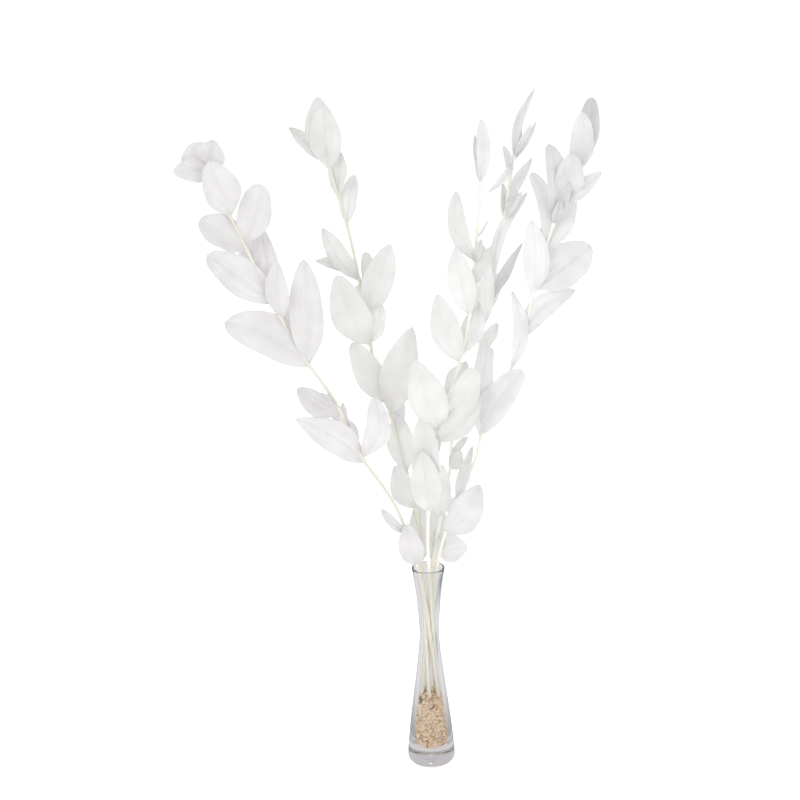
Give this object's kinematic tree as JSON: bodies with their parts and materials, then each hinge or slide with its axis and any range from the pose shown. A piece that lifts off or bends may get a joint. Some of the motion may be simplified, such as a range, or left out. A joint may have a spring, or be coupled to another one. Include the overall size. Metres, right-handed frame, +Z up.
{
  "type": "preserved ruscus branches in a glass bud vase",
  "caption": "Pale preserved ruscus branches with oval leaves, fanned out of a slim waisted clear glass bud vase half filled with fine wood shavings.",
  "frame": {"origin": "middle of the vase's flat foot, on the surface that it stands on", "axes": "+Z up along the vase's axis; +X to the viewer's right and +Y away from the viewer, seen from the side that the branches fan out towards"},
  "size_m": [0.3616, 0.1193, 0.6356],
  "materials": {
    "clear_glass": "clear polished glass, slightly grey in the thick foot",
    "shavings": "matte, loose pinkish-beige shavings with a few dark bits",
    "foliage_rosy": "matte bleached leaf, faintly rosy white",
    "foliage_warm": "matte bleached leaf, warm white",
    "foliage_ivory": "matte bleached leaf, ivory white",
    "foliage_cream": "matte bleached leaf, cream white, slightly translucent",
    "foliage_grey": "matte bleached leaf, neutral grey white"
  },
  "bodies": {
    "root": {"bottle": "clear_glass", "filler": "shavings", "leafy_stem_far_left": "foliage_rosy", "leafy_stem_left": "foliage_warm", "leafy_stem_centre": "foliage_ivory", "leafy_stem_slender": "foliage_cream", "leafy_stem_right": "foliage_grey"}
  },
  "joints": []
}
